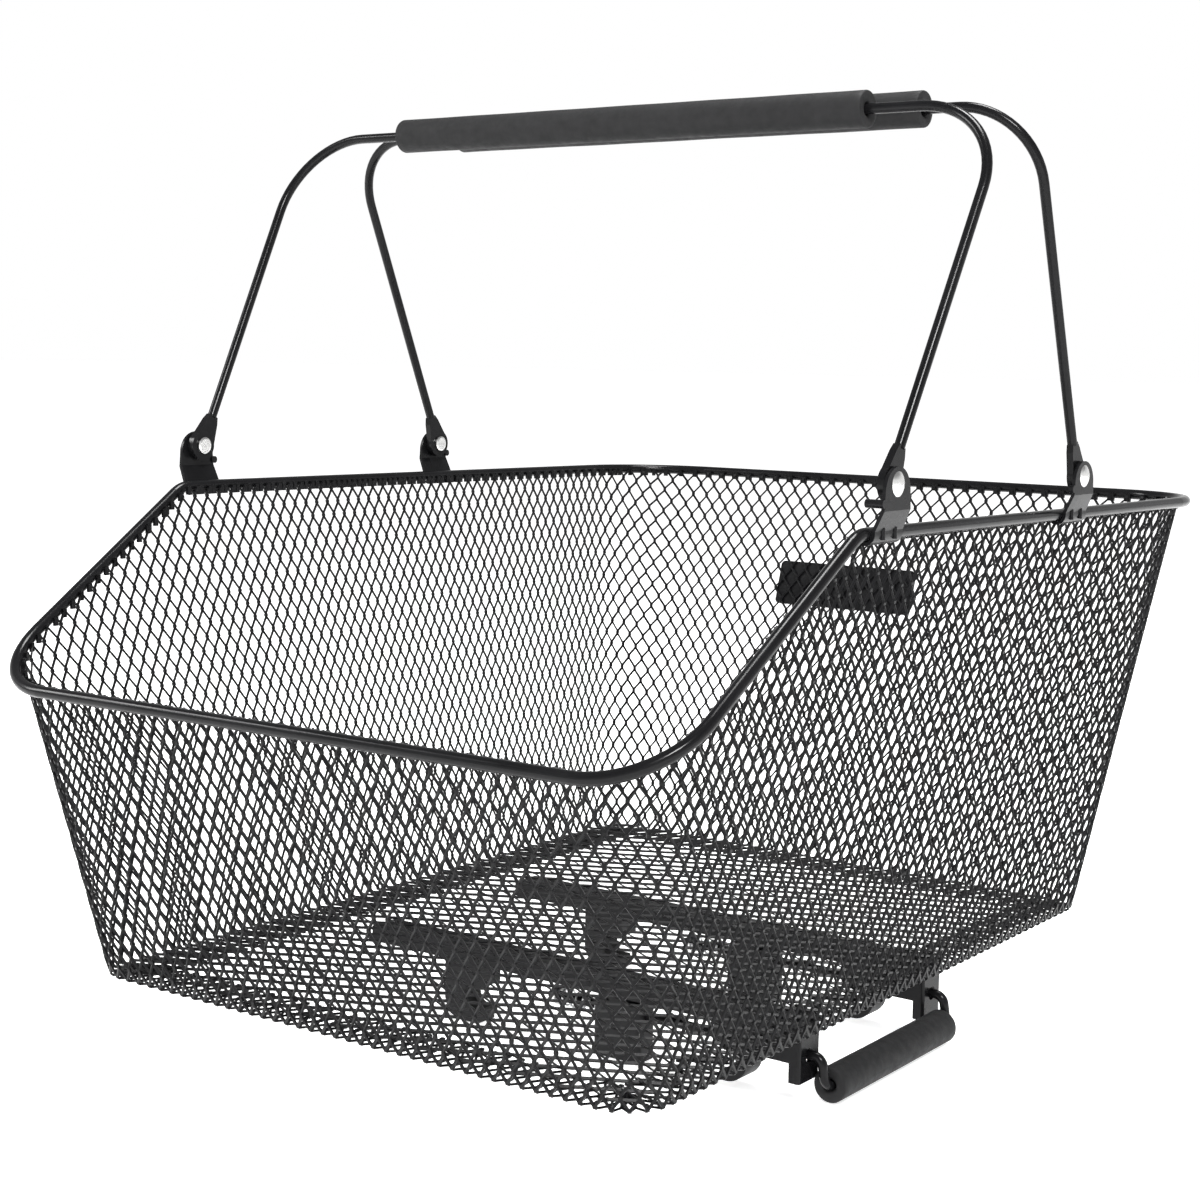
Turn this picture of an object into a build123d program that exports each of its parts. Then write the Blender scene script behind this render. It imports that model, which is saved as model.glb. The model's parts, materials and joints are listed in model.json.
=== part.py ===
"""Detachable mesh basket for a bicycle rear carrier.

Millimetres, +Z up. X runs across the bicycle, Y along it, and the low side of the basket faces -Y.
The origin is on the ground under the middle of the rim, and the basket stands on Z = 0.
"""
from build123d import *
from math import asin, cos, radians, sin, tan
import os

os.makedirs("parts", exist_ok=True)

# Basket body
rim_r = 2.5
rim_half_x = 172.5
rim_front_half_x = 166.1
rim_half_y = 236.4
rim_back_z = 231.2
rim_slope_z = 234.3
rim_front_z = 159.0
slope_y = -121.8
rim_back_bend = 48.0
rim_slope_bend = 16.0
rim_front_bend = 36.0
floor_z = 34.5
base_half_x = 141.2
base_front_y = -205.3
base_back_y = 174.2
base_bend = 20.0
mesh_t = 1.6
flange_w = 24.0

# Handle brackets and their rivets
front_pivot_y = -106.4
rear_pivot_y = 59.5
front_pivot_z = 252.2
rear_pivot_z = 249.1
bracket_w = 22.5
bracket_t = 1.4
bracket_x = 178.4
bracket_top = 6.3
bracket_round = 9.4
hook_gap = 0.15
rivet_r = 2.5
rivet_head_r = 4.6
rivet_head_h = 1.5
stud_r = 1.6
stud_rise = 11.2
long_stud = 6.0
short_stud = 0.8

# Carrying handles
wire_r = 2.1
handle_len = 160.0
front_top_half_x = 183.0
rear_top_half_x = 178.8
handle_foot_half_x = 176.0
front_bend = 36.0
rear_bend = 32.0
eye_r = 6.6
eye_t = 3.0
eye_neck = 15.0
front_lean = 27.4
rear_lean = -22.6
grip_r = 7.4
grip_half = 120.5
front_grip_x = 1.6
rear_grip_x = 10.5

# Cross rails
front_rail_y = -65.5
rear_rail_y = 40.5
rail_half_w = 8.0
rail_t = 1.5
rail_left_x = -100.0
rail_right_x = 127.0
rail_bottom_z = 27.5
cheek_x = 106.0
cheek_bottom_z = 17.0
lug_bottom_z = 8.9
lug_depth = 5.0
lug_hole_r = 3.0

# Carrier clamp
tube_r = 5.0
tube_z = 11.0
pad_t = 1.2
left_tube_x = -42.0
right_tube_x = 91.0
clamp_half_w = 6.0
block_x0 = 24.0
block_x1 = 48.0
block_top_z = 24.5
block_neck_w = 10.0
jaw_back_x = 101.5
jaw_bottom_z = 2.5
jaw_round = 10.0
tip_reach = 3.0

# Release bail
bail_r = 2.0
bail_z = 19.5
bail_end_x = -3.0
bail_knee_x = 132.6
bail_grip_x = 134.6
bail_grip_z = 7.5
bail_bend = 4.4
release_grip_r = 7.3
release_grip_y0 = -62.5
release_grip_y1 = 36.0
stop_x = 2.0
spring_coil_r = 3.3
spring_wire_r = 0.5
spring_turns = 7

# Plate on the back wall
plate_x = -22.0
plate_z = 174.0
plate_w = 82.0
plate_h = 24.0
plate_t = 3.0


def fillet_points(before, corner, after, radius):
    """Start, middle and end of the arc that rounds a corner of a line in space."""
    toward = (before - corner).normalized()
    onward = (after - corner).normalized()
    half = radians(toward.get_angle(onward) / 2)
    middle = (toward + onward).normalized()
    centre = corner + middle * (radius / sin(half))
    start = corner + toward * (radius / tan(half))
    end = corner + onward * (radius / tan(half))
    return start, centre - middle * radius, end


def rim_loop(inset):
    """Edges of the rim line, moved inwards by inset, from the back right corner clockwise."""
    back = rim_half_y - inset
    side = rim_half_x - inset
    front_side = rim_front_half_x - inset
    corners = [
        Vector(side, back, rim_back_z),
        Vector(side, slope_y, rim_slope_z),
        Vector(front_side, -back, rim_front_z),
        Vector(-front_side, -back, rim_front_z),
        Vector(-side, slope_y, rim_slope_z),
        Vector(-side, back, rim_back_z),
    ]
    radii = [rim_back_bend - inset, rim_slope_bend, rim_front_bend - inset]
    radii = radii + radii[::-1]
    arcs = []
    for i, corner in enumerate(corners):
        arcs.append(fillet_points(corners[i - 1], corner, corners[(i + 1) % 6], radii[i]))
    edges = []
    for i, arc in enumerate(arcs):
        edges.append(Edge.make_three_point_arc(*arc))
        edges.append(Edge.make_line(arc[2], arcs[(i + 1) % 6][0]))
    return edges


def base_loop(inset, z):
    """Edges of the foot of the wall, one for each edge of the rim line."""
    side = base_half_x - inset
    front = base_front_y + inset
    back = base_back_y - inset
    bend = base_bend - inset
    bend_mid = bend * (1 - cos(radians(45)))
    split = [-107.8, -117.8]
    right_back = [(side - bend, back), (side - bend_mid, back - bend_mid), (side, back - bend)]
    right_front = [(side, front + bend), (side - bend_mid, front + bend_mid), (side - bend, front)]
    left_front = [(-x, y) for x, y in right_front[::-1]]
    left_back = [(-x, y) for x, y in right_back[::-1]]
    runs = [
        right_back,
        [(side, split[0]), (side, split[1])],
        right_front,
        left_front,
        [(-side, split[1]), (-side, split[0])],
        left_back,
    ]
    edges = []
    for i, run in enumerate(runs):
        points = [Vector(x, y, z) for x, y in run]
        if len(points) == 3:
            edges.append(Edge.make_three_point_arc(*points))
        else:
            edges.append(Edge.make_line(*points))
        following = runs[(i + 1) % 6][0]
        edges.append(Edge.make_line(points[-1], Vector(*following, z)))
    return edges


def ruled_band(first, second):
    """Ruled faces between two loops that have matching edges."""
    return [Face.make_surface_from_curves(a, b) for a, b in zip(first, second)]


def base_outline(inset):
    """Rounded outline of the base inside a sketch."""
    width = 2 * (base_half_x - inset)
    length = base_back_y - base_front_y - 2 * inset
    with Locations((0, (base_back_y + base_front_y) / 2)):
        RectangleRounded(width, length, base_bend - inset)


# Rim: one bent and butt-welded wire
with BuildPart() as rim_wire:
    with BuildLine() as rim_path:
        add(rim_loop(0))
    rim_start = rim_path.edges()[1] @ 0.5
    with BuildSketch(Plane(origin=rim_start, z_dir=rim_path.edges()[1] % 0.5)):
        Circle(rim_r)
    sweep(path=rim_path.wires()[0])

# Wall: mesh strip from the rim down to the base, with a flange turned in below the floor panel
wall_inset = rim_r + 0.05
outer_top = rim_loop(wall_inset)
inner_top = rim_loop(wall_inset + mesh_t)
outer_foot = base_loop(0, floor_z)
inner_foot = base_loop(mesh_t, floor_z)
wall_faces = ruled_band(outer_foot, outer_top) + ruled_band(inner_foot, inner_top)
wall_faces = wall_faces + ruled_band(outer_top, inner_top) + ruled_band(outer_foot, inner_foot)
with BuildPart() as wall_mesh:
    add(Solid(Shell(wall_faces)))
    with BuildSketch(Plane.XY.offset(floor_z)):
        base_outline(mesh_t / 2)
        with Locations((0, (base_back_y + base_front_y) / 2)):
            inner_w = 2 * (base_half_x - flange_w)
            inner_l = base_back_y - base_front_y - 2 * flange_w
            Rectangle(inner_w, inner_l, mode=Mode.SUBTRACT)
    extrude(amount=mesh_t)

# Floor: separate flat mesh panel laid on the flange
with BuildPart() as floor_mesh:
    with BuildSketch(Plane.XY.offset(floor_z + mesh_t)):
        base_outline(3.0)
    extrude(amount=mesh_t)


def bracket(side, pivot_y, pivot_z, stud):
    """Pressed plate that wraps under the rim and carries a handle rivet, on side -1 or +1."""
    rise = (rim_slope_z - rim_back_z) / (rim_half_y - slope_y)
    rim_z = rim_slope_z - rise * (pivot_y - slope_y)
    plate_in = bracket_x
    plate_out = bracket_x + bracket_t
    wrap_in = rim_r + hook_gap
    wrap_out = wrap_in + bracket_t
    arch_z = pivot_z + bracket_top - bracket_round
    with BuildPart() as body:
        with BuildSketch(Plane.XZ.offset(-pivot_y - bracket_w / 2)):
            with BuildLine():
                outer_foot_point = (side * (rim_half_x + wrap_out), rim_z)
                inner_foot_point = (side * (rim_half_x + wrap_in), rim_z)
                tip_out = (side * (rim_half_x - wrap_out / 2), rim_z - wrap_out * cos(radians(30)))
                tip_in = (side * (rim_half_x - wrap_in / 2), rim_z - wrap_in * cos(radians(30)))
                Polyline(
                    inner_foot_point,
                    (side * (rim_half_x + wrap_in), rim_z + 1.6),
                    (side * plate_in, rim_z + 9),
                    (side * plate_in, pivot_z + bracket_top),
                    (side * plate_out, pivot_z + bracket_top),
                    (side * plate_out, rim_z + 8.6),
                    (side * (rim_half_x + wrap_out), rim_z + 1.2),
                    outer_foot_point,
                )
                ThreePointArc(outer_foot_point, (side * rim_half_x, rim_z - wrap_out), tip_out)
                Line(tip_out, tip_in)
                ThreePointArc(tip_in, (side * rim_half_x, rim_z - wrap_in), inner_foot_point)
            make_face()
        extrude(amount=bracket_w)
        with BuildSketch(Plane.YZ.offset(side * plate_out - 20)):
            with Locations((pivot_y, arch_z)):
                Circle(bracket_round)
            with BuildLine():
                Polyline(
                    (pivot_y - bracket_round, arch_z),
                    (pivot_y - bracket_w / 2, rim_z - 10),
                    (pivot_y + bracket_w / 2, rim_z - 10),
                    (pivot_y + bracket_round, arch_z),
                    close=True,
                )
            make_face()
        extrude(amount=40, mode=Mode.INTERSECT)
        for rib in (-4.5, 4.5):
            with BuildSketch(Plane.XY.offset(rim_z - 2)):
                with Locations((side * (rim_half_x + wrap_out - 0.05), pivot_y + rib)):
                    Circle(0.9)
            extrude(amount=4.2)
        with BuildSketch(Plane.YZ.offset(side * plate_out)):
            with Locations((pivot_y - side * (bracket_round + 0.5), rim_z + stud_rise)):
                Circle(stud_r)
        extrude(amount=-side * (bracket_t + stud))
        with BuildSketch(Plane.YZ.offset(side * (plate_in - 8))):
            with Locations((pivot_y, pivot_z)):
                Circle(rivet_r)
        extrude(amount=side * 16, mode=Mode.SUBTRACT)
    return body.part


def rivet(side, pivot_y, pivot_z):
    """Shouldered rivet with a low domed head outside and a rolled ring inside."""
    plate_out = bracket_x + bracket_t
    ring_out = handle_foot_half_x - eye_t / 2 - 0.25
    dome = (rivet_head_r**2 + rivet_head_h**2) / (2 * rivet_head_h)
    dome_mid = asin(rivet_head_r / dome) / 2
    with BuildPart() as body:
        with BuildSketch(Plane.XY):
            with BuildLine():
                Polyline(
                    (plate_out + rivet_head_h, 0),
                    (ring_out - 1.2, 0),
                    (ring_out - 1.2, 2.9),
                    (ring_out - 0.8, 3.7),
                    (ring_out, 3.7),
                    (ring_out, rivet_r),
                    (plate_out, rivet_r),
                    (plate_out, rivet_head_r),
                )
                ThreePointArc(
                    (plate_out, rivet_head_r),
                    (plate_out + rivet_head_h - dome * (1 - cos(dome_mid)), dome * sin(dome_mid)),
                    (plate_out + rivet_head_h, 0),
                )
            make_face()
        revolve(axis=Axis.X)
    placed = body.part
    if side < 0:
        placed = placed.rotate(Axis.Z, 180)
    return placed.moved(Location((0, pivot_y, pivot_z)))


brackets = {}
rivets = {}
for row, row_y, row_z in (("front", front_pivot_y, front_pivot_z), ("rear", rear_pivot_y, rear_pivot_z)):
    for word, side in (("left", -1), ("right", 1)):
        stud_len = long_stud if (row, word) == ("front", "right") else short_stud
        brackets[f"bracket_{row}_{word}"] = bracket(side, row_y, row_z, stud_len)
        rivets[f"rivet_{row}_{word}"] = rivet(side, row_y, row_z)


def handle_wire(pivot_y, pivot_z, lean, top_half_x, bend):
    """Bent wire with both ends pressed flat into pierced eyes, built upright and then leant over."""
    blade_edge = [(5.6, 3.5), (3.5, eye_neck - 3), (2.2, eye_neck)]
    with BuildPart() as body:
        with BuildLine(Plane.XZ) as path:
            FilletPolyline(
                (-handle_foot_half_x, eye_neck - 0.8),
                (-top_half_x, handle_len),
                (top_half_x, handle_len),
                (handle_foot_half_x, eye_neck - 0.8),
                radius=bend,
            )
        with BuildSketch(Plane(origin=path.wires()[0] @ 0, z_dir=path.wires()[0] % 0)):
            Circle(wire_r)
        sweep(path=path.wires()[0])
        for side in (-1, 1):
            with BuildSketch(Plane.YZ.offset(side * handle_foot_half_x - eye_t / 2)):
                with BuildLine():
                    Polyline(*blade_edge, *[(-y, z) for y, z in blade_edge[::-1]], close=True)
                make_face()
                Circle(eye_r)
            extrude(amount=eye_t)
            with BuildSketch(Plane.YZ.offset(side * handle_foot_half_x - 5)):
                Circle(rivet_r + 0.05)
            extrude(amount=10, mode=Mode.SUBTRACT)
    leant = body.part.rotate(Axis.X, -lean)
    return leant.moved(Location((0, pivot_y, pivot_z)))


def handle_grip(pivot_y, pivot_z, lean, middle_x):
    """Foam tube on the straight top of a handle, with rounded ends and an open bore."""
    with BuildPart() as body:
        with BuildSketch(Plane.YZ.offset(middle_x - grip_half)):
            with Locations((0, handle_len)):
                Circle(grip_r)
        extrude(amount=2 * grip_half)
        fillet(body.edges().filter_by(GeomType.CIRCLE), 0.8)
        with BuildSketch(Plane.YZ.offset(middle_x - grip_half - 1)):
            with Locations((0, handle_len)):
                Circle(wire_r)
        extrude(amount=2 * grip_half + 2, mode=Mode.SUBTRACT)
        for side in (-1, 1):
            with BuildSketch(Plane.YZ.offset(middle_x + side * grip_half)):
                with Locations((0, handle_len)):
                    Circle(wire_r + 1.4)
            extrude(amount=-side * 4, mode=Mode.SUBTRACT)
    leant = body.part.rotate(Axis.X, -lean)
    return leant.moved(Location((0, pivot_y, pivot_z)))


def rail(rail_y):
    """Pressed channel under the floor, with deep cheeks and a pierced lug at its right end."""
    cheek_h = floor_z - cheek_bottom_z
    with BuildPart() as body:
        with BuildSketch(Plane.YZ.offset(rail_left_x)):
            with Locations((rail_y, (floor_z + rail_bottom_z) / 2)):
                Rectangle(2 * rail_half_w, floor_z - rail_bottom_z)
            with Locations((rail_y, (floor_z - rail_t + rail_bottom_z) / 2)):
                Rectangle(2 * (rail_half_w - rail_t), floor_z - rail_t - rail_bottom_z, mode=Mode.SUBTRACT)
        extrude(amount=rail_right_x - rail_left_x)
        for cheek_y in (rail_y - rail_half_w + rail_t / 2, rail_y + rail_half_w - rail_t / 2):
            with Locations(((cheek_x + rail_right_x) / 2, cheek_y, floor_z - cheek_h / 2)):
                Box(rail_right_x - cheek_x, rail_t, cheek_h)
        with BuildSketch(Plane.XY.offset(lug_bottom_z)):
            with Locations((rail_right_x - lug_depth / 2, rail_y)):
                Rectangle(lug_depth, 2 * rail_half_w)
            with Locations((rail_right_x - rail_t - lug_depth / 2, rail_y)):
                Rectangle(lug_depth, 2 * (rail_half_w - rail_t), mode=Mode.SUBTRACT)
        extrude(amount=floor_z - lug_bottom_z)
        lug_corners = body.edges().filter_by(Axis.Z).group_by(Axis.X)[-1]
        fillet(lug_corners, 1.4)
        with BuildSketch(Plane.YZ.offset(rail_right_x - 4)):
            with Locations((rail_y, bail_z)):
                Circle(lug_hole_r)
        extrude(amount=8, mode=Mode.SUBTRACT)
    return body.part


def pad(tube_x, toward, rail_y):
    """Thin lining that touches the tube."""
    inner = tube_r
    outer = tube_r + pad_t
    tip = tube_x + toward * tip_reach
    with BuildPart() as body:
        with BuildSketch(Plane.XZ.offset(-rail_y - clamp_half_w)):
            with BuildLine():
                Line((tip, tube_z + outer), (tube_x, tube_z + outer))
                ThreePointArc(
                    (tube_x, tube_z + outer),
                    (tube_x - toward * outer, tube_z),
                    (tube_x, tube_z - outer),
                )
                Polyline(
                    (tube_x, tube_z - outer),
                    (tip, tube_z - outer),
                    (tip, tube_z - inner),
                    (tube_x, tube_z - inner),
                )
                ThreePointArc(
                    (tube_x, tube_z - inner),
                    (tube_x - toward * inner, tube_z),
                    (tube_x, tube_z + inner),
                )
                Polyline((tube_x, tube_z + inner), (tip, tube_z + inner), (tip, tube_z + outer))
            make_face()
        extrude(amount=2 * clamp_half_w)
    return body.part


def clamp(rail_y, tube_x, back, bottom):
    """Moulded hook hanging in the channel, open round a carrier tube on the side away from its back."""
    toward = 1 if back < tube_x else -1
    top = floor_z - rail_t
    seat = tube_r + pad_t
    tip = tube_x + toward * tip_reach
    reach = tube_x + toward * 6
    shoulder = jaw_round * (1 - sin(radians(45)))
    with BuildPart() as body:
        with BuildSketch(Plane.XZ.offset(-rail_y - clamp_half_w)):
            with BuildLine():
                Polyline(
                    (back, bottom + jaw_round),
                    (back, top),
                    (reach, top),
                    (reach, tube_z + seat),
                    (tube_x, tube_z + seat),
                )
                ThreePointArc(
                    (tube_x, tube_z + seat),
                    (tube_x - toward * seat, tube_z),
                    (tube_x, tube_z - seat),
                )
                Polyline(
                    (tube_x, tube_z - seat),
                    (tip, tube_z - seat),
                    (tip, bottom),
                    (back + toward * jaw_round, bottom),
                )
                ThreePointArc(
                    (back + toward * jaw_round, bottom),
                    (back + toward * shoulder, bottom + shoulder),
                    (back, bottom + jaw_round),
                )
            make_face()
        extrude(amount=2 * clamp_half_w)
        with BuildSketch(Plane.YZ.offset(right_tube_x - 12)):
            with Locations((rail_y, bail_z)):
                Circle(bail_r)
        extrude(amount=40, mode=Mode.SUBTRACT)
    return body.part


def guide_block(rail_y):
    """Moulded foot on a narrow neck, which guides the bail wire and takes the thrust of the spring."""
    with BuildPart() as body:
        with BuildSketch(Plane.XY):
            with Locations(((block_x0 + block_x1) / 2, rail_y)):
                RectangleRounded(block_x1 - block_x0, 2 * clamp_half_w, 2)
        extrude(amount=block_top_z)
        with BuildSketch(Plane.XY):
            with Locations(((block_x0 + block_x1) / 2, rail_y)):
                RectangleRounded(block_neck_w, 2 * clamp_half_w, 2)
        extrude(amount=floor_z - rail_t)
        with BuildSketch(Plane.YZ.offset(block_x0 - 4)):
            with Locations((rail_y, bail_z)):
                Circle(bail_r + 0.06)
        extrude(amount=block_x1 - block_x0 + 8, mode=Mode.SUBTRACT)
    return body.part


def spring_stop(rail_y):
    """Ring pressed on the inner end of the bail wire."""
    with BuildPart() as body:
        with BuildSketch(Plane.YZ.offset(stop_x - 2)):
            with Locations((rail_y, bail_z)):
                Circle(4.4)
                Circle(bail_r, mode=Mode.SUBTRACT)
        extrude(amount=2)
    return body.part


def spring(rail_y):
    """Compression spring between the stop ring and the guide block."""
    clear = spring_wire_r + 0.05
    length = block_x0 - stop_x - 2 * clear
    with BuildPart() as body:
        with BuildLine() as coil:
            Helix(pitch=length / spring_turns, height=length, radius=spring_coil_r)
        with BuildSketch(Plane(origin=coil.wires()[0] @ 0, z_dir=coil.wires()[0] % 0)):
            Circle(spring_wire_r)
        sweep(path=coil.wires()[0], is_frenet=True)
    return body.part.rotate(Axis.Y, 90).moved(Location((stop_x + clear, rail_y, bail_z)))


# Release bail: one wire through both lugs, with a foam grip between them
with BuildPart() as bail_wire:
    with BuildLine() as bail_path:
        FilletPolyline(
            (bail_end_x, front_rail_y, bail_z),
            (bail_knee_x, front_rail_y, bail_z),
            (bail_grip_x, front_rail_y, bail_grip_z),
            (bail_grip_x, rear_rail_y, bail_grip_z),
            (bail_knee_x, rear_rail_y, bail_z),
            (bail_end_x, rear_rail_y, bail_z),
            radius=bail_bend,
        )
    with BuildSketch(Plane.YZ.offset(bail_end_x)):
        with Locations((front_rail_y, bail_z)):
            Circle(bail_r)
    sweep(path=bail_path.wires()[0])

with BuildPart() as release_grip:
    grip_plane = Plane.XZ.offset(-release_grip_y1)
    grip_len = release_grip_y1 - release_grip_y0
    with BuildSketch(grip_plane):
        with Locations((bail_grip_x, bail_grip_z)):
            Circle(release_grip_r)
    extrude(amount=grip_len)
    fillet(release_grip.edges().filter_by(GeomType.CIRCLE), 0.6)
    with BuildSketch(grip_plane):
        with Locations((bail_grip_x, bail_grip_z)):
            Circle(bail_r)
    extrude(amount=grip_len, mode=Mode.SUBTRACT)
    for mouth_y, inward in ((release_grip_y0, -1), (release_grip_y1, 1)):
        with BuildSketch(Plane.XZ.offset(-mouth_y)):
            with Locations((bail_grip_x, bail_grip_z)):
                Circle(bail_r + 1.9)
        extrude(amount=inward * 4, mode=Mode.SUBTRACT)

# Flat plate on the outside of the back wall
back_slope = (rim_half_y - wall_inset - base_back_y) / (rim_back_z - floor_z)
back_y = base_back_y + back_slope * (plate_z - floor_z)
back_normal = Vector(0, 1, -back_slope).normalized()
with BuildPart() as rear_plate:
    with BuildSketch(Plane(origin=(plate_x, back_y, plate_z), x_dir=(-1, 0, 0), z_dir=back_normal)):
        RectangleRounded(plate_w, plate_h, 2.5)
    extrude(amount=plate_t)
    fillet(rear_plate.faces().sort_by(Axis.Y)[-1].edges(), 0.8)

parts = {
    "rim_wire": rim_wire.part,
    "wall_mesh": wall_mesh.part,
    "floor_mesh": floor_mesh.part,
    "rear_plate": rear_plate.part,
    "bail_wire": bail_wire.part,
    "release_grip": release_grip.part,
}
for row, row_y, row_z, lean, top_half_x, bend, grip_x in (
    ("front", front_pivot_y, front_pivot_z, front_lean, front_top_half_x, front_bend, front_grip_x),
    ("rear", rear_pivot_y, rear_pivot_z, rear_lean, rear_top_half_x, rear_bend, rear_grip_x),
):
    parts[f"handle_{row}_wire"] = handle_wire(row_y, row_z, lean, top_half_x, bend)
    parts[f"handle_{row}_grip"] = handle_grip(row_y, row_z, lean, grip_x)
parts.update(brackets)
parts.update(rivets)
for word, rail_y in (("front", front_rail_y), ("rear", rear_rail_y)):
    parts[f"rail_{word}"] = rail(rail_y)
    parts[f"fixed_hook_{word}"] = clamp(rail_y, left_tube_x, left_tube_x - 16, 0)
    parts[f"hook_pad_{word}"] = pad(left_tube_x, 1, rail_y)
    parts[f"jaw_{word}"] = clamp(rail_y, right_tube_x, jaw_back_x, jaw_bottom_z)
    parts[f"jaw_pad_{word}"] = pad(right_tube_x, -1, rail_y)
    parts[f"guide_block_{word}"] = guide_block(rail_y)
    parts[f"spring_stop_{word}"] = spring_stop(rail_y)
    parts[f"spring_{word}"] = spring(rail_y)

for name, piece in parts.items():
    piece.label = name
    export_step(piece, f"parts/{name}.step")
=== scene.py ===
"""Looks for the mesh carrier basket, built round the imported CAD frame."""

import json
import math

import bpy
import numpy as np
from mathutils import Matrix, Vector


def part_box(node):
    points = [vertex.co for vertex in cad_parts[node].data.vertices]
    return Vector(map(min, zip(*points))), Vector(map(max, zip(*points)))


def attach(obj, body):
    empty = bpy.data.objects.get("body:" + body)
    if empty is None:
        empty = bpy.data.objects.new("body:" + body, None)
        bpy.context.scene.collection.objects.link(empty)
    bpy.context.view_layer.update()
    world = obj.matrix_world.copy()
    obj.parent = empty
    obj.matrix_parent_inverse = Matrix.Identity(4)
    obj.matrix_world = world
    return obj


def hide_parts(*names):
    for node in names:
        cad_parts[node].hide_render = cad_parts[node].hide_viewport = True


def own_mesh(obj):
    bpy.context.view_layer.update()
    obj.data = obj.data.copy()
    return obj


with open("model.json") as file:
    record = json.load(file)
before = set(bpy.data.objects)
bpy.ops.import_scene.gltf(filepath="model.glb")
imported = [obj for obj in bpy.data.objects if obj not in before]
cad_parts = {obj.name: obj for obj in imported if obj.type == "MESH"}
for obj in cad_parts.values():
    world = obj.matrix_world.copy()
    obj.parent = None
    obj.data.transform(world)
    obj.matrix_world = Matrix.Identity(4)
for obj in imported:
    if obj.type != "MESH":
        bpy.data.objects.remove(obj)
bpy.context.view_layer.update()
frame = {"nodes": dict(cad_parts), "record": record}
nodes = frame["nodes"]

# Sizes shared with the CAD model, in metres
RIM_R = 0.0025
RIM_GAP = 0.00005
RIM_HALF_X = 0.1725
RIM_FRONT_HALF_X = 0.1661
RIM_HALF_Y = 0.2364
RIM_BACK_Z = 0.2312
RIM_SLOPE_Z = 0.2343
RIM_FRONT_Z = 0.159
SLOPE_Y = -0.1218
RIM_BENDS = (0.048, 0.016, 0.036)
FLOOR_Z = 0.0345
BASE_HALF_X = 0.1412
BASE_FRONT_Y = -0.2053
BASE_BACK_Y = 0.1742
BASE_BEND = 0.020
BASE_SPLIT = (-0.1078, -0.1178)
MESH_T = 0.0016
FLANGE_W = 0.024
WIRE_R = 0.0021
GRIP_R = 0.0074
BAIL_R = 0.002
RELEASE_GRIP_R = 0.0073
FOAM_SWELL = 0.00006
FOAM_BORE_GAP = 0.0001
FOAM_MOUTH = 0.004
SPRING_WIRE_R = 0.0005
SPRING_TURNS = 7
SPRING_END = 0.09
SHARP_EDGE = math.radians(60)

# Expanded mesh: diamonds of slit and stretched sheet, wider where it was pulled further
CELL_W_LEFT = 0.00675
CELL_W_RIGHT = 0.0074
CELL_W_FRONT = 0.0072
CELL_W_BACK = 0.0081
CELL_DIAGONAL = 0.0146
FLOOR_CELL_X = 0.0220
FLOOR_CELL_Y = 0.0110
BOND = 0.0013
WELD_LEN = 0.0036
STRAND_W = 0.00092
STRAND_T = 0.00085
FLOOR_STRAND_W = 0.00130
FLOOR_STRAND_T = 0.00060
TWIST = math.radians(28)
BEND_R = 0.0016
ARC_STEPS = 10
RUN_STEPS = 30
BACK_MIDDLE = RUN_STEPS // 2
WALL_RISE = math.cos(math.radians(14))
FLOOR_INSET = 0.003


# ---------------------------------------------------------------- materials


def new_material(name, color, roughness, metallic=0.0, specular=0.5):
    """A material with one Principled shader; returns the material, its node tree and the shader."""
    mat = bpy.data.materials.new(name)
    mat.use_nodes = True
    tree = mat.node_tree
    shader = tree.nodes["Principled BSDF"]
    shader.inputs["Base Color"].default_value = (*color, 1)
    shader.inputs["Roughness"].default_value = roughness
    shader.inputs["Metallic"].default_value = metallic
    shader.inputs["Specular IOR Level"].default_value = specular
    return mat, tree, shader


def noise(tree, scale, detail=2.0, rough=0.5):
    coords = tree.nodes.new("ShaderNodeTexCoord")
    tex = tree.nodes.new("ShaderNodeTexNoise")
    tex.inputs["Scale"].default_value = scale
    tex.inputs["Detail"].default_value = detail
    tex.inputs["Roughness"].default_value = rough
    tree.links.new(coords.outputs["Object"], tex.inputs["Vector"])
    return tex.outputs["Fac"]


def ramp(tree, source, stops):
    node = tree.nodes.new("ShaderNodeValToRGB")
    elements = node.color_ramp.elements
    while len(elements) < len(stops):
        elements.new(0.5)
    for element, (at, value) in zip(elements, stops):
        element.position = at
        element.color = (*value, 1) if isinstance(value, tuple) else (value, value, value, 1)
    tree.links.new(source, node.inputs["Fac"])
    return node.outputs["Color"]


def bump(tree, shader, source, strength, distance):
    node = tree.nodes.new("ShaderNodeBump")
    node.inputs["Strength"].default_value = strength
    node.inputs["Distance"].default_value = distance
    tree.links.new(source, node.inputs["Height"])
    tree.links.new(node.outputs["Normal"], shader.inputs["Normal"])


def coat_material(name, color, low, high, peel):
    """Black powder coat: slight orange peel, roughness and tone that wander a little."""
    mat, tree, shader = new_material(name, color, low, specular=0.13)
    wander = noise(tree, 60, 3)
    tree.links.new(ramp(tree, wander, [(0.3, low), (0.7, high)]), shader.inputs["Roughness"])
    dark = tuple(c * 0.8 for c in color)
    light = tuple(c * 1.35 for c in color)
    tree.links.new(ramp(tree, noise(tree, 25, 4), [(0.35, dark), (0.7, light)]), shader.inputs["Base Color"])
    bump(tree, shader, noise(tree, 900, 2), peel, 0.0002)
    return mat


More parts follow.
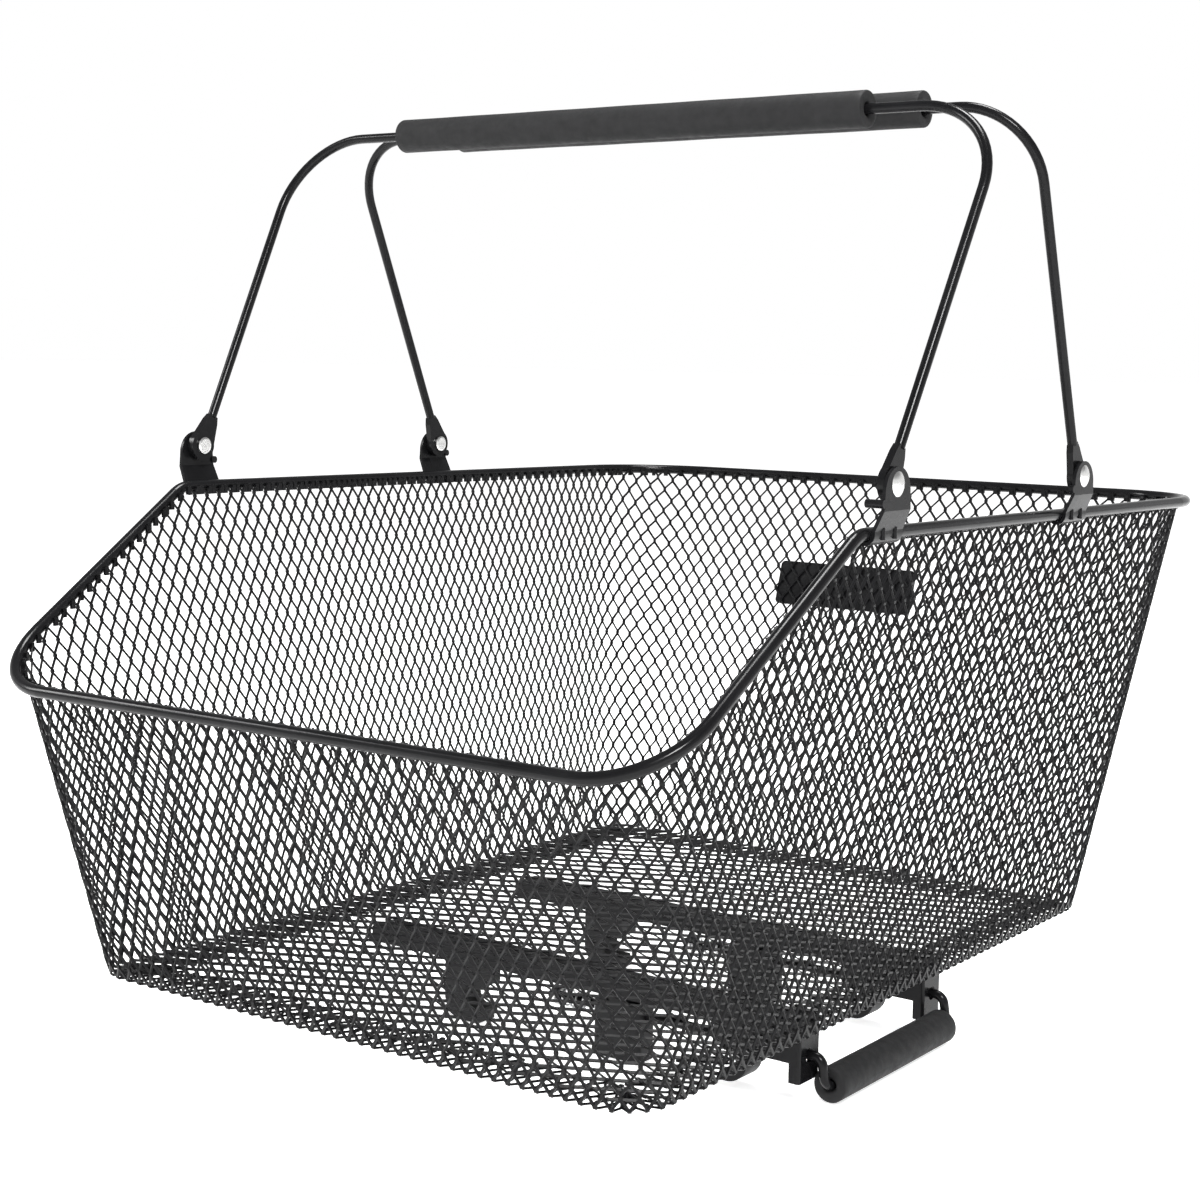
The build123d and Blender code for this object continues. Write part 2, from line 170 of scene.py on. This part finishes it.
def foam_material():
    """Closed-cell foam: matte charcoal with fine pores and faint mottling."""
    mat, tree, shader = new_material("foam_charcoal", (0.011, 0.011, 0.0115), 0.66, specular=0.20)
    tone = [(0.3, (0.0095, 0.0095, 0.010)), (0.7, (0.0130, 0.0130, 0.0135))]
    tree.links.new(ramp(tree, noise(tree, 120, 5, 0.6), tone), shader.inputs["Base Color"])
    tree.links.new(ramp(tree, noise(tree, 300, 2), [(0.3, 0.58), (0.7, 0.74)]), shader.inputs["Roughness"])
    bump(tree, shader, noise(tree, 2600, 3, 0.7), 0.30, 0.00025)
    return mat


def steel_material(name, color, low, high):
    mat, tree, shader = new_material(name, color, low, metallic=1.0)
    tree.links.new(ramp(tree, noise(tree, 220, 4), [(0.3, low), (0.75, high)]), shader.inputs["Roughness"])
    dull = tuple(c * 0.82 for c in color)
    tree.links.new(ramp(tree, noise(tree, 90, 3), [(0.3, dull), (0.7, color)]), shader.inputs["Base Color"])
    bump(tree, shader, noise(tree, 700, 3), 0.12, 0.0002)
    return mat


def plastic_material(name, color, low, high, grain):
    mat, tree, shader = new_material(name, color, low, specular=0.16)
    tree.links.new(ramp(tree, noise(tree, 150, 3), [(0.3, low), (0.7, high)]), shader.inputs["Roughness"])
    light = tuple(c * 1.4 for c in color)
    tone = ramp(tree, noise(tree, 40, 4), [(0.35, color), (0.75, light)])
    tree.links.new(tone, shader.inputs["Base Color"])
    bump(tree, shader, noise(tree, 1500, 2), grain, 0.0003)
    return mat


WIRE = coat_material("coat_wire", (0.0055, 0.0055, 0.006), 0.14, 0.24, 0.05)
SHEET = coat_material("coat_sheet", (0.0055, 0.0055, 0.006), 0.20, 0.32, 0.08)
MESH = coat_material("coat_mesh", (0.0040, 0.0040, 0.0045), 0.28, 0.40, 0.08)
FOAM = foam_material()
RIVET = steel_material("steel_rivet", (0.80, 0.80, 0.79), 0.20, 0.34)
SPRING = steel_material("steel_spring", (0.50, 0.50, 0.51), 0.25, 0.40)
PAD = plastic_material("rubber_pad", (0.009, 0.009, 0.009), 0.65, 0.80, 0.20)
MOULDING = plastic_material("moulding_black", (0.007, 0.007, 0.0075), 0.38, 0.52, 0.15)
PLATE = plastic_material("plate_black", (0.005, 0.005, 0.0055), 0.18, 0.28, 0.05)

SLOT_MATERIAL = {
    "wire_coat": WIRE,
    "sheet_coat": SHEET,
    "mesh_coat": MESH,
    "foam": FOAM,
    "rivet_steel": RIVET,
    "spring_steel": SPRING,
    "pad_rubber": PAD,
    "moulding": MOULDING,
    "plate": PLATE,
}
for part in frame["record"]["subparts"]:
    piece = nodes[part["node"]]
    piece.data.materials.clear()
    piece.data.materials.append(SLOT_MATERIAL[part["material_slot"]])


# ---------------------------------------------------------------- pieces


def new_piece(name, verts, faces, material, smooth=False):
    """An object made of these points and faces, smooth but for its sharp edges if asked."""
    mesh = bpy.data.meshes.new(name)
    mesh.from_pydata([tuple(v) for v in verts], [], faces)
    mesh.validate()
    mesh.materials.append(material)
    if smooth:
        mesh.shade_smooth()
        mesh.set_sharp_from_angle(angle=SHARP_EDGE)
    obj = bpy.data.objects.new(name, mesh)
    bpy.context.collection.objects.link(obj)
    return obj


# ---------------------------------------------------------------- the rim line and the wall surface


def rounded(before, corner, after, radius, steps):
    """Points of the arc that rounds a corner, ends included."""
    toward = (before - corner).normalized()
    onward = (after - corner).normalized()
    half = toward.angle(onward) / 2
    centre = corner + (toward + onward).normalized() * (radius / math.sin(half))
    a = corner + toward * (radius / math.tan(half)) - centre
    b = corner + onward * (radius / math.tan(half)) - centre
    sweep = a.angle(b)
    points = []
    for i in range(steps + 1):
        f = i / steps
        points.append(centre + (a * math.sin((1 - f) * sweep) + b * math.sin(f * sweep)) / math.sin(sweep))
    return points


def run_between(start, end, steps):
    return [start.lerp(end, i / steps) for i in range(1, steps)]


def rim_points(inset):
    """Points round the rim line, from the back right corner clockwise seen from above."""
    back = RIM_HALF_Y - inset
    side = RIM_HALF_X - inset
    front = RIM_FRONT_HALF_X - inset
    corners = [
        Vector((side, back, RIM_BACK_Z)),
        Vector((side, SLOPE_Y, RIM_SLOPE_Z)),
        Vector((front, -back, RIM_FRONT_Z)),
        Vector((-front, -back, RIM_FRONT_Z)),
        Vector((-side, SLOPE_Y, RIM_SLOPE_Z)),
        Vector((-side, back, RIM_BACK_Z)),
    ]
    radii = [RIM_BENDS[0] - inset, RIM_BENDS[1], RIM_BENDS[2] - inset]
    radii = radii + radii[::-1]
    arcs = [rounded(corners[i - 1], corners[i], corners[(i + 1) % 6], radii[i], ARC_STEPS) for i in range(6)]
    points = []
    for i, arc in enumerate(arcs):
        points += arc + run_between(arc[-1], arcs[(i + 1) % 6][0], RUN_STEPS)
    return points


def base_points(inset, z):
    """Points round the base outline, one for each point of the rim line."""
    side = BASE_HALF_X - inset
    front = BASE_FRONT_Y + inset
    back = BASE_BACK_Y - inset
    corners = [Vector((x, y, z)) for x, y in ((side, back), (side, front), (-side, front), (-side, back))]
    bend = BASE_BEND - inset
    arcs = [rounded(corners[i - 1], corners[i], corners[(i + 1) % 4], bend, ARC_STEPS) for i in range(4)]
    right = [Vector((side, BASE_SPLIT[0], z)), Vector((side, BASE_SPLIT[1], z))]
    left = [Vector((-side, BASE_SPLIT[1], z)), Vector((-side, BASE_SPLIT[0], z))]
    right_run = [right[0]] + run_between(*right, ARC_STEPS) + [right[1]]
    left_run = [left[0]] + run_between(*left, ARC_STEPS) + [left[1]]
    runs = [arcs[0], right_run, arcs[1], arcs[2], left_run, arcs[3]]
    points = []
    for i, run in enumerate(runs):
        points += run + run_between(run[-1], runs[(i + 1) % 6][0], RUN_STEPS)
    return points


WALL_FOOT_Z = FLOOR_Z + MESH_T / 2
foot_line = np.array(base_points(MESH_T / 2, WALL_FOOT_Z))
top_line = np.array(rim_points(RIM_R + RIM_GAP + MESH_T / 2))
foot_line = np.roll(foot_line, BACK_MIDDLE, axis=0)
top_line = np.roll(top_line, BACK_MIDDLE, axis=0)


def slice_at(z):
    """The wall's outline at height z, and the share of its length at each point."""
    share = (z - WALL_FOOT_Z) / (top_line[:, 2:3] - WALL_FOOT_Z)
    line = foot_line + (top_line - foot_line) * share
    line = np.vstack([line, line[:1]])
    steps = np.linalg.norm(np.diff(line, axis=0), axis=1)
    length = np.concatenate([[0], np.cumsum(steps)])
    return line, length / length[-1], length[-1]


def on_slice(entry, u):
    line, share, _ = entry
    u = u % 1.0
    return np.array([np.interp(u, share, line[:, k]) for k in range(3)])


slices = {}


def wall_point(u, z):
    key = round(z, 6)
    if key not in slices:
        slices[key] = slice_at(z)
    return on_slice(slices[key], u)


def inward(u):
    """Horizontal direction from the base outline towards the inside."""
    a = wall_point(u - 0.002, WALL_FOOT_Z)
    b = wall_point(u + 0.002, WALL_FOOT_Z)
    along = (b - a) / np.linalg.norm(b - a)
    return np.array([along[1], -along[0], 0.0])



def sheet_point(u, s):
    """A point of the bent mesh sheet: up the wall for s above 0, along the flange below 0."""
    if s > BEND_R:
        return wall_point(u, WALL_FOOT_Z + s * WALL_RISE)
    if s < -BEND_R:
        return wall_point(u, WALL_FOOT_Z) + inward(u) * -s
    corner = wall_point(u, WALL_FOOT_Z)
    low = corner + inward(u) * BEND_R
    high = wall_point(u, WALL_FOOT_Z + BEND_R * WALL_RISE)
    f = (s + BEND_R) / (2 * BEND_R)
    return low * (1 - f) ** 2 + corner * 2 * f * (1 - f) + high * f**2


def rim_height(point):
    """Height of the rim line, where the sheet is trimmed, over a point of the wall."""
    drop = (RIM_SLOPE_Z - RIM_FRONT_Z) / (SLOPE_Y + RIM_HALF_Y)
    fall = (RIM_SLOPE_Z - RIM_BACK_Z) / (RIM_HALF_Y - SLOPE_Y)
    past = point[1] - SLOPE_Y
    return RIM_SLOPE_Z - fall * past if past > 0 else RIM_SLOPE_Z + drop * past


# ---------------------------------------------------------------- strands


class Strands:
    """Collects strands of expanded mesh, each a closed four-sided bar."""

    SECTION = ((-0.5, -0.5), (-0.5, 0.5), (0.5, 0.5), (0.5, -0.5))
    SIDES = ((0, 4, 5, 1), (1, 5, 6, 2), (2, 6, 7, 3), (3, 7, 4, 0), (0, 1, 2, 3), (7, 6, 5, 4))

    def __init__(self):
        self.verts = []
        self.faces = []

    def add(self, a, b, normal, width, thick, twist=0.0):
        along = b - a
        length = np.linalg.norm(along)
        if length < 1e-5:
            return
        along = along / length
        across = np.cross(normal, along)
        across = across / np.linalg.norm(across)
        up = np.cross(along, across)
        side = across * math.cos(twist) + up * math.sin(twist)
        rise = up * math.cos(twist) - across * math.sin(twist)
        first = len(self.verts)
        for end in (a, b):
            for p, q in self.SECTION:
                self.verts.append(end + side * (p * width) + rise * (q * thick))
        for face in self.SIDES:
            self.faces.append(tuple(first + k for k in face))

    def build(self, name, material):
        return new_piece(name, self.verts, self.faces, material)


def add_knot(strands, low, high, far_left, far_right, normal, width, thick):
    """One knot of the mesh, from low to high, and the two strands that leave it upwards."""
    strands.add(low, high, normal, width * 1.7, thick * 1.15)
    for far, sign in ((far_left, -1), (far_right, 1)):
        if far is None:
            continue
        overlap = far - high
        overlap = overlap / max(np.linalg.norm(overlap), 1e-9) * (width * 0.2)
        strands.add(high - overlap, far + overlap, normal, width, thick, TWIST * sign)


def cell_widths(samples):
    """Width of a mesh cell at evenly spaced places round the wall, eased from side to side."""
    z = (WALL_FOOT_Z + RIM_BACK_Z) / 2
    widths = []
    for k in range(samples):
        u = (k + 0.5) / samples
        across = wall_point(u + 0.02, z) - wall_point(u - 0.02, z)
        across = across / np.linalg.norm(across)
        out = np.array([-across[1], across[0]])
        x_share = out[0] ** 2 / (out[0] ** 2 + out[1] ** 2)
        side = CELL_W_RIGHT if out[0] > 0 else CELL_W_LEFT
        end = CELL_W_BACK if out[1] > 0 else CELL_W_FRONT
        widths.append(side * x_share + end * (1 - x_share))
    return np.array(widths)


def build_wall():
    samples = 400
    widths = cell_widths(samples)
    mid_length = slice_at((WALL_FOOT_Z + RIM_BACK_Z) / 2)[2]
    cells = np.concatenate([[0], np.cumsum(mid_length / samples / widths)])
    columns = 2 * round(cells[-1])
    places = np.linspace(0, 1, samples + 1)
    shares = np.interp(np.arange(columns) / columns * cells[-1], cells, places)
    half_rise = np.sqrt(CELL_DIAGONAL**2 - np.interp(shares, (places[:-1] + places[1:]) / 2, widths) ** 2) / 2
    rows_down = round(FLANGE_W / half_rise.max())
    rows_up = math.ceil((RIM_SLOPE_Z - WALL_FOOT_Z) / WALL_RISE / half_rise.min()) + 1
    cache = {}

    def point(i, j, shift):
        """Lattice point of column i and row j, moved up the sheet by shift."""
        i = i % columns
        key = (i, j, shift)
        if key not in cache:
            cache[key] = sheet_point(shares[i], j * half_rise[i] + shift)
        return cache[key]

    def outward(i, j):
        across = point(i + 1, j, 0.0) - point(i - 1, j, 0.0)
        up = point(i, j, 0.001) - point(i, j, -0.001)
        n = np.cross(across, up)
        return n / np.linalg.norm(n)

    def trimmed(a, b):
        """The far end of a strand, cut at the rim, or None when it starts above the rim."""
        over_a = a[2] - rim_height(a)
        over_b = b[2] - rim_height(b)
        if over_a > 0:
            return None
        return b if over_b <= 0 else a + (b - a) * (over_a / (over_a - over_b))

    quarters = [Strands() for _ in range(4)]
    for j in range(-rows_down, rows_up):
        for i in range(columns):
            if (i + j) % 2:
                continue
            low, high = point(i, j, -BOND / 2), point(i, j, BOND / 2)
            high = trimmed(low, high)
            if high is None:
                continue
            ends = [trimmed(high, point(i + step, j + 1, -BOND / 2)) for step in (-1, 1)]
            strands = quarters[4 * i // columns]
            add_knot(strands, low, high, *ends, outward(i, j), STRAND_W, STRAND_T)
            for end in ends:
                if end is not None and rim_height(end) - end[2] < 1e-5:
                    weld_foot = end - np.array([0.0, 0.0, WELD_LEN])
                    strands.add(weld_foot, end, outward(i, j), STRAND_W * 2.2, STRAND_T * 1.5)
    return [strands.build(f"wall_strands_{k + 1}", MESH) for k, strands in enumerate(quarters)]


def build_floor():
    strands = Strands()
    z = FLOOR_Z + MESH_T * 1.5
    up = np.array([0.0, 0.0, 1.0])
    half_x = BASE_HALF_X - FLOOR_INSET
    half_y = (BASE_BACK_Y - BASE_FRONT_Y) / 2 - FLOOR_INSET
    mid_y = (BASE_BACK_Y + BASE_FRONT_Y) / 2
    bend = BASE_BEND - FLOOR_INSET

    def inside(p):
        dx = max(0.0, abs(p[0]) - (half_x - bend))
        dy = max(0.0, abs(p[1] - mid_y) - (half_y - bend))
        return math.hypot(dx, dy) <= bend

    across = math.ceil(2 * half_x / FLOOR_CELL_X) + 1
    along = math.ceil(2 * half_y / FLOOR_CELL_Y) + 1
    for i in range(-across, across + 1):
        for j in range(-along, along + 1):
            if (i + j) % 2:
                continue
            x, y = i * FLOOR_CELL_X / 2, mid_y + j * FLOOR_CELL_Y / 2
            low, high = np.array([x - BOND / 2, y, z]), np.array([x + BOND / 2, y, z])
            if not (inside(low) and inside(high)):
                continue
            far_x = x + FLOOR_CELL_X / 2 - BOND / 2
            ends = [np.array([far_x, y + step * FLOOR_CELL_Y / 2, z]) for step in (-1, 1)]
            ends = [end if inside(end) else None for end in ends]
            add_knot(strands, low, high, *ends, up, FLOOR_STRAND_W, FLOOR_STRAND_T)
    return strands.build("floor_strands", MESH)


for panel in build_wall():
    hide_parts("wall_mesh")
    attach(panel, "basket")

floor_panel = build_floor()
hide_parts("floor_mesh")
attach(floor_panel, "basket")


# ---------------------------------------------------------------- foam grips


def foam_tube(name, start, end, outer, inner, mouth):
    """Foam tube along a line: softly waved skin, crisp rounded ends and a dark open mouth."""
    axis = (end - start).normalized()
    length = (end - start).length
    side = axis.orthogonal().normalized()
    other = axis.cross(side)
    rng = np.random.default_rng(sum(map(ord, name)))
    phases = rng.uniform(0, 2 * math.pi, 4)
    lip = 0.0007
    profile = [(mouth, inner), (mouth * 0.5, inner + 0.0002), (0.0004, inner + 0.0009), (0.0, inner + 0.0016)]
    profile += [(0.0, outer - 0.0016), (0.0001, outer - lip), (lip * 0.35, outer - lip * 0.3), (lip, outer)]
    steps = max(8, round(length / 0.004))
    stations = profile + [(lip + (length - 2 * lip) * k / steps, outer) for k in range(1, steps)]
    stations += [(length - t, r) for t, r in profile[::-1]]
    around = 48
    verts, faces = [], []
    for t, r in stations:
        for k in range(around):
            angle = 2 * math.pi * k / around
            swell = 0.0
            if r > outer - lip:
                wave = math.sin(t * 60 + phases[0]) * math.sin(angle + phases[1])
                wave += 0.6 * math.sin(t * 150 + phases[2]) * math.sin(2 * angle + phases[3])
                swell = FOAM_SWELL * wave
            spoke = side * math.cos(angle) + other * math.sin(angle)
            verts.append(start + axis * t + spoke * (r + swell))
    rows = len(stations)
    for a in range(rows):
        b = (a + 1) % rows
        for k in range(around):
            m = (k + 1) % around
            faces.append((a * around + k, a * around + m, b * around + m, b * around + k))
    return new_piece(name, verts, faces, FOAM, smooth=True)


def box_axis(node):
    """Ends of the long middle line of a node's box."""
    low, high = (Vector(corner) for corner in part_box(node))
    middle = (low + high) / 2
    size = high - low
    k = max(range(3), key=lambda n: size[n])
    reach = Vector([size[n] / 2 if n == k else 0.0 for n in range(3)])
    return middle - reach, middle + reach


for node, body, outer, inner in (
    ("handle_front_grip", "handle_front", GRIP_R, WIRE_R),
    ("handle_rear_grip", "handle_rear", GRIP_R, WIRE_R),
    ("release_grip", "release", RELEASE_GRIP_R, BAIL_R),
):
    ends = box_axis(node)
    grip = foam_tube(node.replace("grip", "foam"), *ends, outer, inner + FOAM_BORE_GAP, FOAM_MOUTH)
    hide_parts(node)
    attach(grip, body)


# ---------------------------------------------------------------- springs


def spring_coil(name, node):
    """Helix of round wire in the box of a spring node, its end turns closed up."""
    low, high = (Vector(corner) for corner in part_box(node))
    middle = (low + high) / 2
    radius = (high.z - low.z) / 2 - SPRING_WIRE_R
    first, last = low.x + SPRING_WIRE_R, high.x - SPRING_WIRE_R
    steps = SPRING_TURNS * 32
    around = 10
    verts, faces = [], []
    for k in range(steps + 1):
        f = k / steps
        angle = 2 * math.pi * SPRING_TURNS * f
        travel = min(1.0, max(0.0, (f - SPRING_END) / (1 - 2 * SPRING_END)))
        travel = 0.94 * travel + 0.06 * f
        spoke = Vector((0, math.cos(angle), math.sin(angle)))
        centre = Vector((first + (last - first) * travel, middle.y, middle.z)) + spoke * radius
        for m in range(around):
            turn = 2 * math.pi * m / around
            sideways = Vector((SPRING_WIRE_R * math.sin(turn), 0, 0))
            verts.append(centre + spoke * (SPRING_WIRE_R * math.cos(turn)) + sideways)
    for k in range(steps):
        for m in range(around):
            n = (m + 1) % around
            faces.append((k * around + m, k * around + n, (k + 1) * around + n, (k + 1) * around + m))
    faces.append(tuple(range(around))[::-1])
    faces.append(tuple(steps * around + m for m in range(around)))
    return new_piece(name, verts, faces, SPRING, smooth=True)


for node in ("spring_front", "spring_rear"):
    coil = spring_coil(node + "_coil", node)
    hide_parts(node)
    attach(coil, "basket")
    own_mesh(coil)


# ---------------------------------------------------------------- studio


FLOOR_SIZE = 60.0
FLOOR_DROP = 0.0005
FLOOR_GLOW = 0.74


def plain_floor():
    """Wide white floor with a glow of its own, so that it meets the white surroundings unseen."""
    mat, _, shader = new_material("studio_white", (0.92, 0.92, 0.92), 0.9)
    shader.inputs["Emission Color"].default_value = (1, 1, 1, 1)
    shader.inputs["Emission Strength"].default_value = FLOOR_GLOW
    half = FLOOR_SIZE / 2
    corners = [(-half, -half, 0), (half, -half, 0), (half, half, 0), (-half, half, 0)]
    obj = new_piece("studio_floor", corners, [(0, 1, 2, 3)], mat)
    obj.location.z = -FLOOR_DROP


def area_light(name, place, target, size, power):
    data = bpy.data.lights.new(name, "AREA")
    data.shape = "RECTANGLE"
    data.size, data.size_y = size
    data.energy = power
    obj = bpy.data.objects.new(name, data)
    obj.location = place
    obj.rotation_euler = (Vector(target) - Vector(place)).to_track_quat("-Z", "Y").to_euler()
    bpy.context.collection.objects.link(obj)


plain_floor()
world = bpy.data.worlds.new("studio_world")
bpy.context.scene.world = world
world.use_nodes = True
sky = world.node_tree
coords = sky.nodes.new("ShaderNodeTexCoord")
split = sky.nodes.new("ShaderNodeSeparateXYZ")
sky.links.new(coords.outputs["Generated"], split.inputs["Vector"])
glow = ramp(sky, split.outputs["Z"], [(0.0, 1.0), (0.22, 1.0), (0.45, 0.30), (1.0, 0.22)])
sky.links.new(glow, sky.nodes["Background"].inputs["Color"])
sky.nodes["Background"].inputs["Strength"].default_value = 1.0
area_light("key", (1.5, -1.5, 2.0), (0, 0, 0.15), (0.7, 0.5), 85)
area_light("fill", (-1.8, -1.2, 1.2), (0, 0, 0.15), (0.4, 1.0), 26)
area_light("top", (0.1, 0.3, 2.2), (0, 0, 0.1), (0.7, 0.7), 55)

# Camera: fitted to the rim, the base and the handles
bpy.context.scene.view_settings.view_transform = "Standard"
CAMERA_AT = Vector((0.53727, -0.78404, 0.29651))
CAMERA_FORWARD = Vector((-0.58065, 0.80598, -0.11508))
CAMERA_UP = Vector((-0.08142, 0.08316, 0.99320))
SENSOR_WIDTH = 36.0
CAMERA_LENS = 63.66
camera_data = bpy.data.cameras.new("camera")
camera_data.sensor_width = SENSOR_WIDTH
camera_data.lens = CAMERA_LENS
camera = bpy.data.objects.new("camera", camera_data)
bpy.context.collection.objects.link(camera)
right = CAMERA_FORWARD.cross(CAMERA_UP).normalized()
up = right.cross(CAMERA_FORWARD).normalized()
matrix = camera.matrix_world.copy()
for row in range(3):
    matrix[row][0] = right[row]
    matrix[row][1] = up[row]
    matrix[row][2] = -CAMERA_FORWARD[row]
    matrix[row][3] = CAMERA_AT[row]
camera.matrix_world = matrix
bpy.context.scene.camera = camera
